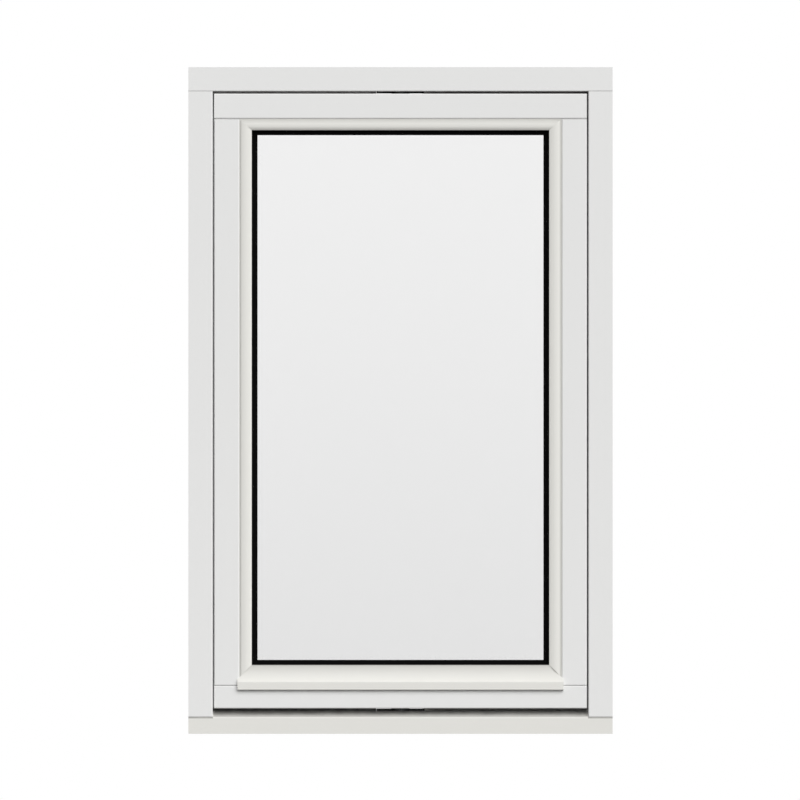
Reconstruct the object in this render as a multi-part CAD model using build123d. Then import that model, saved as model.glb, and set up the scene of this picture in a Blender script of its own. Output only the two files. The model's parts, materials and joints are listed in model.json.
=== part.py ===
from build123d import *
import os
from math import acos, cos, pi, radians, sin, tan

os.makedirs("parts", exist_ok=True)

# A timber window whose sash turns about an upright axis at the middle of its width.
# Millimetres. X is to the right seen from outside, -Y is outside, +Z is up.
# The origin is at the middle of the sill's underside, half way through the frame's depth.
# The right half of the sash swings out, off an inner stop; the left half swings in, off an outer stop.

# Frame
frame_width = 700.0
frame_height = 1100.0
frame_depth = 105.0
head_face = 40.0
jamb_face = 40.1
sill_face = 27.2
sill_rise = 10.6
outer_stop_depth = 22.0
arris_radius = 2.0
joint_groove = 1.2
joint_groove_depth = 3.5
boss_radius = 38.0
boss_clearance = 2.0
stop_clearance = 4.0

# Sash
side_gap = 2.5
head_gap = 3.8
sill_gap = 4.2
seal_gap = 4.5
sash_setback = 2.0
sash_depth = 64.0
sash_lip = 12.0
stile_face = 41.4
top_rail_face = 41.2
bottom_rail_face = 37.6
glazing_lip = 18.0
dowel_radius = 5.0
dowel_length = 56.0
dowel_spacing = 22.0
dowel_setback = 12.0

# Glazing
pane_thickness = 4.0
cavity = 16.0
tape_thickness = 3.0
gasket_thickness = 3.0
gasket_show = 8.4
gasket_side_show = 9.6
gasket_round = 1.2
edge_clearance = 4.5
setting_height = 6.0
block_length = 80.0
block_inset = 60.0
seal_width = 5.0
spacer_height = 7.0

# Glazing beads
side_bead_face = 20.6
top_bead_face = 19.0
bottom_bead_rise = 34.1
bead_proud = 1.0
bead_crest = 9.4
bead_round = 26.0
bead_quirk = 3.0
bead_quirk_depth = 1.5
drip_projection = 7.5
drip_height = 13.3
drip_lap = 7.4
drip_overhang = 3.0
drip_hollow = 3.0
drip_groove_radius = 1.5
drip_edge_radius = 1.5

# Pivots
plate_length = 66.0
plate_width = 24.0
plate_thickness = 4.0
plate_corner = 5.0
plate_screw_reach = 25.0
spigot_radius = 6.0
spigot_length = 20.0
spigot_lead = 1.5
running_fit = 0.05
bush_wall = 3.0
bush_flange = 3.0
bush_flange_thickness = 2.0
bush_end = 2.0
washer_radius = 15.0
washer_clearance = 0.5
upper_washer_play = 0.4
seal_ring_inner = 18.0
seal_play = 0.3
seal_edge_play = 0.3

# Weather strips
strip_bulb = 6.0
kerf_width = 2.6
kerf_depth = 4.0
strip_drop = 1.4

# Lock
handle_height = 540.0
handle_turn = 180.0
gear_module = 1.0
gear_teeth = 18
rack_teeth = 14
rack_lead_teeth = 2
flank_points = 5
pressure_angle = 20.0
dedendum_share = 1.25
backlash = 0.4
rack_back = 4.0
rod_thickness = 5.0
rod_width = 5.0
rod_play = 0.4
bolt_inset = 1.0
bolt_lead = 1.2
arm_height = 8.0
arm_gap = 2.0
case_wall = 1.5
case_play = 0.5
mortise_play = 0.2
faceplate_thickness = 2.5
faceplate_width = 20.0
faceplate_inner = 6.0
faceplate_screw_offset = 8.5
faceplate_screw_inset = 120.0
keep_length = 46.0
keep_width = 20.0
keep_thickness = 2.5
keep_play = 1.0
keep_depth = 26.0
keep_screw_inset = 7.0
keep_screw_pitch = 15.0
keep_edge = 2.0

# Handle
rosette_width = 28.0
rosette_height = 62.0
rosette_thickness = 9.0
rosette_edge = 2.5
rosette_screw_reach = 22.0
neck_radius = 9.0
neck_fit = 0.08
neck_seat = 1.0
lever_back = 41.0
lever_thickness = 13.0
lever_length = 112.0
lever_root_radius = 11.0
lever_tip_radius = 8.0
lever_edge = 3.5
spindle_width = 7.0
spindle_fit = 0.05
spindle_grip = 24.0
spindle_hole_radius = 6.0

# Fasteners
screw_radius = 2.0
screw_head = 4.0
screw_length = 25.0
corner_screw_radius = 2.75
corner_screw_head = 5.5
corner_screw_length = 95.0
corner_screw_pitch = 34.0
corner_screw_setback = 4.0
fixing_inset = 150.0
fixing_setback = 12.5
sleeve_radius = 7.0
sleeve_bore = 3.5
cap_radius = 9.0
cap_thickness = 1.5
overrun = 1.0

# Places that follow from the sizes above
half_width = frame_width / 2
front = -frame_depth / 2
back = frame_depth / 2
sash_front = front + sash_setback
sash_back = sash_front + sash_depth
axis_y = (sash_front + sash_back) / 2
inner_stop_y = sash_back + seal_gap
outer_stop_y = front + outer_stop_depth
lip_y = outer_stop_y + seal_gap

rebate_x = half_width - jamb_face
sash_x = rebate_x - side_gap
lip_x = sash_x + sash_lip
lip_room_x = lip_x + side_gap
stop_x = sash_x - sash_lip
stop_start = sash_depth / 2 + stop_clearance
lip_start = boss_radius + boss_clearance

head_z = frame_height - head_face
sash_top = head_z - head_gap
lip_top = sash_top + sash_lip
head_room_z = lip_top + head_gap
head_stop_z = sash_top - sash_lip
sill_z = sill_face + sill_rise
sash_bottom = sill_z + sill_gap
lip_bottom = sash_bottom - sash_lip
sill_room_z = lip_bottom - sill_gap
sill_stop_z = sash_bottom + sash_lip

wall_x = sash_x - stile_face
wall_top = sash_top - top_rail_face
wall_bottom = sash_bottom + bottom_rail_face
sight_x = wall_x - side_bead_face
sight_top = wall_top - top_bead_face
sight_bottom = wall_bottom + bottom_bead_rise

lip_face_y = sash_back - glazing_lip
inner_glass_y = lip_face_y - tape_thickness
outer_glass_y = inner_glass_y - cavity - pane_thickness * 2
bead_back = outer_glass_y - gasket_thickness
pane_x = wall_x - edge_clearance
pane_top = wall_top - edge_clearance
pane_bottom = wall_bottom + setting_height

pitch_radius = gear_module * gear_teeth / 2
gear_pitch = pi * gear_module
rod_travel = pitch_radius * radians(handle_turn)
handle_x = (sight_x + stop_x) / 2
lock_y = sash_back - glazing_lip / 2
rod_outer_x = sash_x - faceplate_thickness - rod_play
rod_inner_x = rod_outer_x - rod_width
rack_root = pitch_radius + gear_module * dedendum_share
rack_edge = rack_root + rack_back
rack_reach = (rack_teeth - rack_lead_teeth) * gear_pitch
arm_bottom = rack_reach + arm_gap
arm_top = arm_bottom + arm_height
case_inside = rod_thickness / 2 + case_play
case_outside = case_inside + case_wall
case_x = handle_x - rack_edge - case_play - case_wall
case_reach = arm_top + rod_travel + case_play + case_wall
mitre_front = sash_front - drip_projection - overrun
bulb_height = seal_gap - seal_play
bulb_radius = ((strip_bulb / 2) ** 2 + bulb_height**2) / bulb_height / 2
eases = ((arris_radius,), ())


def at_xy(u, v):
    """A point of a level outline."""
    return (u, v, 0)


def at_yz(u, v):
    """A point of an outline across the width."""
    return (0, u, v)


def at_xz(u, v):
    """A point of an outline seen from the front."""
    return (u, 0, v)


def outline(place, corners):
    """A face with straight sides; a corner is (u, v), or (u, v, radius) where it is rounded."""
    points = [Vector(*place(*corner[:2])) for corner in corners]
    face = make_face(Polyline(*points, close=True)).face()
    for corner, point in zip(corners, points):
        if len(corner) > 2:
            face = eased(face, point, corner[2])
    return face


def eased(face, point, radius):
    """The face with its corner at point rounded."""
    nearest = min(face.vertices(), key=lambda v: (Vector(*v) - point).length)
    return face.fillet_2d(radius, [nearest])


def bar_x(face, start, end):
    """A face across the width, carried along X."""
    return Pos(X=start) * extrude(face, amount=end - start, dir=(1, 0, 0))


def bar_y(face, start, end):
    """A face seen from the front, carried along Y."""
    return Pos(Y=start) * extrude(face, amount=end - start, dir=(0, 1, 0))


def bar_z(face, start, end):
    """A level face, carried along Z."""
    return Pos(Z=start) * extrude(face, amount=end - start, dir=(0, 0, 1))


def block(x0, x1, y0, y1, z0, z1):
    """A plain block between three pairs of limits."""
    return Pos((x0 + x1) / 2, (y0 + y1) / 2, (z0 + z1) / 2) * Box(x1 - x0, y1 - y0, z1 - z0)


def disc(radius, z0, z1):
    """A round disc on the Z axis between two levels."""
    return Pos(Z=(z0 + z1) / 2) * Cylinder(radius, z1 - z0)


def ring(inner, outer, z0, z1):
    """A flat ring on the Z axis between two levels."""
    return disc(outer, z0, z1) - disc(inner, z0, z1)


def screw(radius, head, length):
    """A countersunk screw on the Z axis, its head level with Z 0 and its point below."""
    half = outline(
        at_xz, [(0, 0), (head, 0), (radius, radius - head), (radius, radius - length), (0, -length)]
    )
    return revolve(half, Axis.Z)


def group(*solids):
    """Like pieces kept apart in one node."""
    return Compound([piece for solid in solids for piece in solid.solids()])


def cut(nodes, names, cutters):
    """Takes the cutters out of the named nodes."""
    for name in names:
        for cutter in cutters:
            nodes[name] -= cutter


def behind_stop(solid):
    """What lies behind the face of the outer stop."""
    return solid & block(-half_width, half_width, outer_stop_y, back, 0, frame_height)


def boss(z0, z1):
    """The round boss about the pivot where the stops change sides."""
    return behind_stop(Pos(Y=axis_y) * disc(boss_radius, z0, z1))


# Frame members


def head_section(step_y, step_z, ease):
    """Section of the head, stepped at step_y to the level step_z."""
    return outline(
        at_yz,
        [
            (front, frame_height),
            (back, frame_height),
            (back, step_z, *ease),
            (step_y, step_z),
            (step_y, head_z),
            (front, head_z, *ease),
        ],
    )


def sill_section(step_y, step_z, ease):
    """Section of the sill, bevelled in front and stepped at step_y to the level step_z."""
    bevel = [(outer_stop_y, sill_z)] if step_y > outer_stop_y else []
    return outline(
        at_yz,
        [
            (front, 0),
            (back, 0),
            (back, step_z, *ease),
            (step_y, step_z),
            (step_y, sill_z),
            *bevel,
            (front, sill_face, *ease),
        ],
    )


def stepped_member(section, room_z, stop_z, ease):
    """A head or sill: outer stop on the left, plain about the pivot, inner stop on the right."""
    left = bar_x(section(outer_stop_y, room_z, ease), -half_width, 0)
    middle = bar_x(section(inner_stop_y, room_z, ease), 0, stop_start)
    right = bar_x(section(inner_stop_y, stop_z, ease), stop_start, half_width)
    return left + middle + right


def joint_slot(face_y, z0, z1):
    """Cutter for a fine groove over a joint, in the front of the member that stands on it."""
    return block(-half_width, half_width, face_y, face_y + joint_groove_depth, z0, z1)


def make_frame():
    """Head and sill over the full width, and jambs with square shoulders scribed between them."""
    head, square_head = [stepped_member(head_section, head_room_z, head_stop_z, ease) for ease in eases]
    sill, square_sill = [stepped_member(sill_section, sill_room_z, sill_stop_z, ease) for ease in eases]
    left = outline(
        at_xy,
        [
            (-half_width, front),
            (-half_width, back),
            (-lip_room_x, back, arris_radius),
            (-lip_room_x, outer_stop_y),
            (-rebate_x, outer_stop_y),
            (-rebate_x, front, arris_radius),
        ],
    )
    right = outline(
        at_xy,
        [
            (half_width, front),
            (half_width, back),
            (stop_x, back, arris_radius),
            (stop_x, inner_stop_y),
            (rebate_x, inner_stop_y),
            (rebate_x, front, arris_radius),
        ],
    )
    square_sill += joint_slot(front, sill_face, sill_face + joint_groove)
    return {
        "frame_head": head + boss(head_z, head_room_z),
        "frame_sill": sill + boss(sill_room_z, sill_z),
        "frame_jamb_left": bar_z(left, 0, frame_height) - square_head - square_sill,
        "frame_jamb_right": bar_z(right, 0, frame_height) - square_head - square_sill,
    }


# Sash members


def rail(edge_z, wall_z, sight_z, lip_z, ease):
    """A rail across the sash, rebated for the glass, with the left half's lip at its edge."""
    section = outline(
        at_yz,
        [
            (sash_front, edge_z, *ease),
            (sash_back, edge_z),
            (sash_back, sight_z, *ease),
            (lip_face_y, sight_z),
            (lip_face_y, wall_z),
            (sash_front, wall_z, *ease),
        ],
    )
    lip = outline(
        at_xz,
        [
            (-lip_x, wall_z),
            (-sash_x, wall_z),
            (-sash_x, edge_z),
            (-lip_start, edge_z),
            (-lip_start, lip_z),
            (-lip_x, lip_z),
        ],
    )
    return bar_x(section, -sash_x, sash_x) + bar_y(lip, lip_y, sash_back)


def make_sash():
    """Rails over the full width, and stiles with square shoulders scribed between them."""
    top_levels = (sash_top, wall_top, sight_top, lip_top)
    top, square_top = [rail(*top_levels, ease) for ease in eases]
    bottom_levels = (sash_bottom, wall_bottom, sight_bottom, lip_bottom)
    bottom, square_bottom = [rail(*bottom_levels, ease) for ease in eases]
    square_top += joint_slot(sash_front, wall_top - joint_groove, wall_top)
    square_bottom += joint_slot(sash_front, wall_bottom, wall_bottom + joint_groove)
    left = outline(
        at_xy,
        [
            (-sash_x, sash_front, arris_radius),
            (-wall_x, sash_front, arris_radius),
            (-wall_x, lip_face_y),
            (-sight_x, lip_face_y),
            (-sight_x, sash_back, arris_radius),
            (-lip_x, sash_back),
            (-lip_x, lip_y),
            (-sash_x, lip_y),
        ],
    )
    right = outline(
        at_xy,
        [
            (sash_x, sash_front, arris_radius),
            (wall_x, sash_front, arris_radius),
            (wall_x, lip_face_y),
            (sight_x, lip_face_y),
            (sight_x, sash_back, arris_radius),
            (sash_x, sash_back),
        ],
    )
    return {
        "sash_top_rail": top,
        "sash_bottom_rail": bottom,
        "sash_stile_left": bar_z(left, sash_bottom, sash_top) - square_top - square_bottom,
        "sash_stile_right": bar_z(right, sash_bottom, sash_top) - square_top - square_bottom,
    }


def make_dowels(nodes):
    """Two dowels at each corner of the sash, half in the rail and half in the stile."""
    x = sash_x - stile_face / 2
    joints = [(side * x, z) for side in (-1, 1) for z in (wall_top, wall_bottom)]
    depths = [sash_front + dowel_setback + n * dowel_spacing for n in range(2)]
    dowel = disc(dowel_radius, -dowel_length / 2, dowel_length / 2)
    dowels = [Pos(x, y, z) * dowel for x, z in joints for y in depths]
    nodes["sash_corner_dowels"] = group(*dowels)
    cut(nodes, ["sash_top_rail", "sash_bottom_rail", "sash_stile_left", "sash_stile_right"], dowels)


# Glass and what holds it


def mitre_corners(outer, inner):
    """Outlines, seen from the front, of a left, a top and a bottom strip that meet in mitres."""
    outer_x, outer_top, outer_bottom = outer
    inner_x, inner_top, inner_bottom = inner
    left = [(-outer_x, outer_bottom), (-outer_x, outer_top), (-inner_x, inner_top), (-inner_x, inner_bottom)]
    top = [(-outer_x, outer_top), (outer_x, outer_top), (inner_x, inner_top), (-inner_x, inner_top)]
    bottom = [
        (-outer_x, outer_bottom),
        (outer_x, outer_bottom),
        (inner_x, inner_bottom),
        (-inner_x, inner_bottom),
    ]
    return left, top, bottom


def mitred(bar, corners):
    """A bar cut to an outline seen from the front."""
    return bar & bar_y(outline(at_xz, corners), mitre_front, sash_back)


def at_zy(u, v):
    """A point of an outline across the width, given as height and depth."""
    return (0, v, u)


def flat_strips(outer, inner, y0, y1):
    """Four mitred strips of plain flat section."""
    left, top, bottom = [bar_y(outline(at_xz, corners), y0, y1) for corners in mitre_corners(outer, inner)]
    return group(left, mirror(left, about=Plane.YZ), top, bottom)


def eased_strips(outer, inner, y0, y1, radius):
    """Four mitred strips of flat section, their inner front edge rounded."""
    left, top, bottom = mitre_corners(outer, inner)
    outer_x, outer_top, outer_bottom = outer
    inner_x, inner_top, inner_bottom = inner

    def section(place, far, near):
        return outline(place, [(far, y0), (far, y1), (near, y1), (near, y0, radius)])

    side = mitred(bar_z(section(at_xy, -outer_x, -inner_x), outer_bottom, outer_top), left)
    return group(
        side,
        mirror(side, about=Plane.YZ),
        mitred(bar_x(section(at_zy, outer_top, inner_top), -outer_x, outer_x), top),
        mitred(bar_x(section(at_zy, outer_bottom, inner_bottom), -outer_x, outer_x), bottom),
    )


def glass_ring(inset, width):
    """A ring between the panes, inset from their edges."""
    y0 = outer_glass_y + pane_thickness
    y1 = y0 + cavity
    x, top, bottom = pane_x - inset, pane_top - inset, pane_bottom + inset
    return block(-x, x, y0, y1, bottom, top) - block(
        width - x, x - width, y0, y1, bottom + width, top - width
    )


def make_blocks():
    """Blocks that carry and centre the glass in the rebate."""
    y0, y1 = outer_glass_y, inner_glass_y
    half = block_length / 2
    x = pane_x - block_inset
    level = [
        block(side * x - half, side * x + half, y0, y1, z0, z1)
        for side in (-1, 1)
        for z0, z1 in ((wall_bottom, pane_bottom), (pane_top, wall_top))
    ]
    upright = [
        block(x0, x1, y0, y1, z - half, z + half)
        for x0, x1 in ((-wall_x, -pane_x), (pane_x, wall_x))
        for z in (pane_bottom + block_inset, pane_top - block_inset)
    ]
    return group(*level, *upright)


def make_glazing():
    """Sealed unit of two panes, its edge seal, spacer, blocks, tape and outer gasket."""
    edges = (pane_x, pane_top, pane_bottom)
    sight = (sight_x, sight_top, sight_bottom)
    shown = (sight_x - gasket_side_show, sight_top - gasket_show, sight_bottom + gasket_show)
    outer_y = outer_glass_y + pane_thickness
    inner_y = inner_glass_y - pane_thickness
    return {
        "outer_pane": block(-pane_x, pane_x, outer_glass_y, outer_y, pane_bottom, pane_top),
        "inner_pane": block(-pane_x, pane_x, inner_y, inner_glass_y, pane_bottom, pane_top),
        "edge_seal": glass_ring(0, seal_width),
        "spacer_bar": glass_ring(seal_width, spacer_height),
        "setting_blocks": make_blocks(),
        "inner_glazing_tape": flat_strips(edges, sight, inner_glass_y, lip_face_y),
        "outer_glazing_gasket": eased_strips(edges, shown, bead_back, outer_glass_y, gasket_round),
    }


# Glazing beads


def bead_level(u):
    """How far the moulded face stands out of the sash at u from the rebate's wall."""
    return bead_proud - bead_round + (bead_round**2 - (u - bead_crest) ** 2) ** 0.5


def bead_section(place, wall, towards, width):
    """Section of a bead: a sunk quirk along the rebate's wall, then a round moulded face."""

    def point(u, y):
        return Vector(*place(wall + towards * u, y))

    quirk_y = sash_front + bead_quirk_depth
    face = ThreePointArc(*[point(u, sash_front - bead_level(u)) for u in (bead_quirk, bead_crest, width)])
    rest = Polyline(
        face @ 1,
        point(width, bead_back),
        point(0, bead_back),
        point(0, quirk_y),
        point(bead_quirk, quirk_y),
        face @ 0,
    )
    return make_face([face, rest]).face()


def drip_section():
    """Section of the bottom bead: a hollow weathered face down to a drip nose."""
    nose_bottom = wall_bottom - drip_lap
    top = Vector(*at_yz(sash_front - bead_level(side_bead_face), sight_bottom))
    nose = Vector(*at_yz(sash_front - drip_projection, nose_bottom + drip_height))
    chord = nose - top
    inward = Vector(0, -chord.Z, chord.Y).normalized()
    hollow = ThreePointArc(top, (top + nose) / 2 + inward * drip_hollow, nose)
    drip = Vector(*at_yz(nose.Y, nose_bottom))
    rest = Polyline(
        nose,
        drip,
        at_yz(sash_front, nose_bottom),
        at_yz(sash_front, wall_bottom),
        at_yz(bead_back, wall_bottom),
        at_yz(bead_back, sight_bottom),
        top,
    )
    return eased(eased(make_face([hollow, rest]).face(), nose, drip_edge_radius), drip, drip_edge_radius)


def make_drip_bead(stiles):
    """The bottom bead, mitred to the side beads and carried past them over the stiles' faces."""
    end_x = wall_x + drip_overhang
    nose_bottom = wall_bottom - drip_lap
    mitre_z = sight_bottom - (end_x - sight_x)
    shape = [
        (-sight_x, sight_bottom),
        (sight_x, sight_bottom),
        (end_x, mitre_z),
        (end_x, nose_bottom),
        (-end_x, nose_bottom),
        (-end_x, mitre_z),
    ]
    bead = mitred(bar_x(drip_section(), -end_x, end_x), shape)
    groove = Rot(Y=90) * Cylinder(drip_groove_radius, end_x * 2)
    bead -= Pos(0, sash_front - drip_projection / 2, nose_bottom) * groove
    for stile in stiles:
        bead -= stile
    return bead


def make_beads(stiles):
    """Moulded beads at the top and the sides, and the drip bead below."""
    mitre_bottom = sight_bottom - side_bead_face
    outer, inner = (wall_x, wall_top, mitre_bottom), (sight_x, sight_top, sight_bottom)
    left_corners, top_corners, _ = mitre_corners(outer, inner)
    side = bar_z(bead_section(at_xy, -wall_x, 1, side_bead_face), mitre_bottom, wall_top)
    top = bar_x(bead_section(at_zy, wall_top, -1, top_bead_face), -wall_x, wall_x)
    left = mitred(side, left_corners)
    return {
        "glazing_bead_left": left,
        "glazing_bead_right": mirror(left, about=Plane.YZ),
        "glazing_bead_top": mitred(top, top_corners),
        "glazing_bead_bottom": make_drip_bead(stiles),
    }


# Pivots, drawn about the Z axis with the sash's edge at Z 0 and the frame above it


def pivot_plate(z0, z1):
    """A plate with round corners between two levels."""
    face = RectangleRounded(plate_length, plate_width, plate_corner)
    return Pos(Z=z0) * extrude(face, amount=z1 - z0)


def make_pivot(gap, washer_play):
    """The pieces of one pivot, and the cutters for the sash and for the frame."""
    deep = gap + spigot_length
    places = [Pos(X=side * plate_screw_reach) for side in (-1, 1)]
    fixing = screw(screw_radius, screw_head, screw_length)
    sash_screws = [place * fixing for place in places]
    frame_screws = [place * Pos(Z=gap) * Rot(X=180) * fixing for place in places]
    bore = spigot_radius + running_fit
    outside = disc(bore + bush_wall, gap, deep + washer_clearance + bush_end)
    outside += disc(bore + bush_wall + bush_flange, gap, gap + bush_flange_thickness)
    pin = disc(spigot_radius, 0, deep)
    pin = chamfer(pin.edges().sort_by(Axis.Z)[-1], spigot_lead)
    spigot = pivot_plate(-plate_thickness, 0) + pin
    plate = pivot_plate(gap, gap + plate_thickness)
    for piece in sash_screws:
        spigot -= piece
    for piece in [outside, *frame_screws]:
        plate -= piece
    return {
        "spigot_plate": spigot,
        "pivot_plate": plate,
        "pivot_bush": outside - disc(bore, gap, deep + washer_clearance),
        "thrust_washer": ring(spigot_radius + washer_clearance, washer_radius, 0, gap - washer_play),
    }, {
        "sash_screws": sash_screws,
        "frame_screws": frame_screws,
        "sash": [pivot_plate(-plate_thickness, overrun)],
        "frame": [pivot_plate(gap - overrun, gap + plate_thickness), outside],
    }


def make_pivots(nodes):
    """Both pivots, let into the rails, the head and the sill."""
    upper = (Pos(0, axis_y, sash_top), head_gap, upper_washer_play, "sash_top_rail", "frame_head")
    lower = (Pos(0, axis_y, sash_bottom) * Rot(X=180), sill_gap, 0, "sash_bottom_rail", "frame_sill")
    sash_screws, frame_screws = [], []
    for name, (place, gap, play, rail_name, frame_name) in {"upper": upper, "lower": lower}.items():
        pieces, cutters = make_pivot(gap, play)
        for piece_name, piece in pieces.items():
            nodes[f"{name}_{piece_name}"] = place * piece
        seal = ring(seal_ring_inner, lip_start - seal_edge_play, seal_play, gap)
        nodes[f"{name}_pivot_seal"] = behind_stop(place * seal)
        cutters = {kind: [place * piece for piece in solids] for kind, solids in cutters.items()}
        sash_screws += cutters["sash_screws"]
        frame_screws += cutters["frame_screws"]
        cut(nodes, [rail_name], cutters["sash"] + cutters["sash_screws"])
        cut(nodes, [frame_name], cutters["frame"] + cutters["frame_screws"])
    nodes["spigot_plate_screws"] = group(*sash_screws)
    nodes["pivot_plate_screws"] = group(*frame_screws)


# Weather strips, each in a kerf of the stop that the sash closes on


def weather_strip(start, along, across, length):
    """A strip with a round bulb and a stem, and the kerf for its stem."""
    plane = Plane(origin=start, x_dir=across, z_dir=along)
    bulb, stem = strip_bulb / 2, kerf_width / 2
    arc = ThreePointArc((bulb, 0), (0, bulb_height), (-bulb, 0))
    foot = Polyline(
        (-bulb, 0), (-stem, 0), (-stem, -kerf_depth), (stem, -kerf_depth), (stem, 0), (bulb, 0)
    )
    kerf = Pos(Y=-kerf_depth / 2) * Rectangle(kerf_width, kerf_depth)
    strip = extrude(plane * make_face([arc, foot]), amount=length)
    return strip, extrude(plane * kerf, amount=length)


def make_strips(nodes):
    """Strips round the inner stop of the right half and the outer stop of the left half."""
    bulb = bulb_radius
    lap = sash_lip / 2
    right, low, high = stop_x + lap, sill_stop_z - lap, head_stop_z + lap
    left = (rebate_x + lip_x) / 2
    left_low, left_high = (sill_z + lip_bottom) / 2 - strip_drop, (head_z + lip_top) / 2
    right_run, left_run = right + bulb - stop_start, left + bulb - lip_start
    x, z = Vector(1, 0, 0), Vector(0, 0, 1)
    strips = {
        "jamb_strip_right": ((right, inner_stop_y, low + bulb), z, -x, high - low - bulb * 2),
        "head_strip_right": ((stop_start, inner_stop_y, high), x, z, right_run),
        "sill_strip_right": ((stop_start, inner_stop_y, low), x, z, right_run),
        "jamb_strip_left": ((-left, outer_stop_y, left_low + bulb), z, x, left_high - left_low - bulb * 2),
        "head_strip_left": ((-left - bulb, outer_stop_y, left_high), x, -z, left_run),
        "sill_strip_left": ((-left - bulb, outer_stop_y, left_low), x, -z, left_run),
    }
    for name, (start, along, across, length) in strips.items():
        nodes[name], kerf = weather_strip(start, along, across, length)
        cut(nodes, ["frame_head", "frame_sill", "frame_jamb_left", "frame_jamb_right"], [kerf])


# Lock: a pinion on the handle's spindle drives an upper and a lower rod opposite ways


def make_pinion():
    """Involute pinion about the spindle, one tooth towards +X, with a square bore."""
    base = pitch_radius * cos(radians(pressure_angle))
    tip = pitch_radius + gear_module
    root = pitch_radius - gear_module * dedendum_share

    def involute(radius):
        angle = acos(base / radius)
        return tan(angle) - angle

    half_angle = (gear_pitch / 2 - backlash / 2) / 2 / pitch_radius + involute(pitch_radius)
    radii = [base + (tip - base) * n / (flank_points - 1) for n in range(flank_points)]
    flank = [(root, half_angle)] + [(radius, half_angle - involute(radius)) for radius in radii]
    points = []
    for tooth in range(gear_teeth):
        centre = 2 * pi * tooth / gear_teeth
        points += [(r * cos(centre - a), r * sin(centre - a)) for r, a in flank]
        points += [(r * cos(centre + a), r * sin(centre + a)) for r, a in reversed(flank)]
    blank = bar_y(outline(at_xz, points), lock_y - rod_thickness / 2, lock_y + rod_thickness / 2)
    return Pos(handle_x, 0, handle_height) * blank - spindle(spindle_fit)


def spindle(play):
    """The square spindle from the pinion to its grip in the lever, or its hole with play round it."""
    half = spindle_width / 2 + play
    inner, outer = lock_y - rod_thickness / 2 - play, sash_back + spindle_grip + play
    return block(
        handle_x - half, handle_x + half, inner, outer, handle_height - half, handle_height + half
    )


def rack_edge_points():
    """Toothed edge of a rack, upwards, as (distance, height) from the pinion's centre."""
    slope = tan(radians(pressure_angle))
    half = (gear_pitch / 2 - backlash / 2) / 2
    tip, root = half - gear_module * slope, half + gear_module * dedendum_share * slope
    near = pitch_radius - gear_module
    points = []
    for tooth in range(rack_lead_teeth - rack_teeth, rack_lead_teeth):
        centre = (tooth + 1 / 2) * gear_pitch
        points += [(rack_root, centre - root), (near, centre - tip)]
        points += [(near, centre + tip), (rack_root, centre + root)]
    return points


def rod_end(end):
    """Outline of a rod's upper end between its inner and outer side, with a lead on both."""
    inner, outer = rod_inner_x - handle_x, rod_outer_x - handle_x
    shoulder = end - bolt_lead
    return [(inner, shoulder), (inner + bolt_lead, end), (outer - bolt_lead, end), (outer, shoulder)]


def rod_solid(points, upwards):
    """A rod cut from flat bar, its points taken from the pinion's centre."""
    corners = [(handle_x + d, handle_height + upwards * h) for d, h in points]
    return bar_y(outline(at_xz, corners), lock_y - rod_thickness / 2, lock_y + rod_thickness / 2)


def make_rods():
    """Upper rod with its rack outside the pinion; lower rod with its rack inside it and an arm below."""
    inner, outer = rod_inner_x - handle_x, rod_outer_x - handle_x
    teeth = rack_edge_points()
    upper = [(rack_root, -rack_reach), *teeth, (rack_root, arm_top), (inner, arm_top)]
    upper += rod_end(sash_top - bolt_inset - handle_height)
    upper += [(outer, arm_bottom), (rack_edge, arm_bottom), (rack_edge, -rack_reach)]
    lower = [(-rack_root, -rack_reach), *[(-d, h) for d, h in teeth], (-rack_root, arm_bottom)]
    lower += [(outer, arm_bottom), *reversed(rod_end(handle_height - sash_bottom - bolt_inset))]
    lower += [(inner, arm_top), (-rack_edge, arm_top), (-rack_edge, -rack_reach)]
    return {"upper_rod": rod_solid(upper, 1), "lower_rod": rod_solid(lower, -1)}


def lock_box(x0, x1, half_y, reach):
    """A block about the lock's middle plane and the handle's height."""
    return block(x0, x1, lock_y - half_y, lock_y + half_y, handle_height - reach, handle_height + reach)


def make_lock(nodes):
    """Gearbox, edge faceplate and their room in the right stile and the ends of the rails."""
    edge_x = sash_x - faceplate_thickness
    groove_x, groove_y = rod_inner_x - rod_play, rod_thickness / 2 + rod_play
    rod_room = block(
        groove_x,
        sash_x + overrun,
        lock_y - groove_y,
        lock_y + groove_y,
        sash_bottom - overrun,
        sash_top + overrun,
    )
    lid_y = lock_y + case_inside
    inside = lock_box(case_x + case_wall, edge_x, case_outside, case_reach - case_wall)
    inside = Pos(Y=case_wall) * inside
    case = lock_box(case_x, edge_x, case_outside, case_reach) - inside - rod_room
    hole = Pos(handle_x, lock_y, handle_height) * Rot(X=-90) * disc(spindle_hole_radius, 0, glazing_lip)
    lid = block(
        case_x + case_wall,
        edge_x,
        lid_y,
        lid_y + case_wall,
        handle_height - case_reach + case_wall,
        handle_height + case_reach - case_wall,
    )
    plate_y = lock_y + faceplate_inner
    faceplate = block(edge_x, sash_x, plate_y - faceplate_width, plate_y, sash_bottom, sash_top)
    heights = [sash_bottom + faceplate_screw_inset, sash_top - faceplate_screw_inset]
    fixing = Rot(Y=90) * screw(screw_radius, screw_head, screw_length)
    screws = [Pos(sash_x, lock_y - faceplate_screw_offset, z) * fixing for z in heights]
    mortise = lock_box(case_x - mortise_play, sash_x, case_outside + mortise_play, case_reach + mortise_play)
    nodes.update({"gearbox_case": case, "gearbox_lid": lid - hole, "lock_faceplate": faceplate})
    nodes["faceplate_screws"] = group(*screws)
    cut(nodes, ["sash_top_rail", "sash_bottom_rail", "sash_stile_right"], [rod_room, faceplate])
    cut(nodes, ["sash_stile_right"], [mortise, hole])
    cut(nodes, ["sash_stile_right", "lock_faceplate"], screws)
    nodes.update(make_rods())


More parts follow.
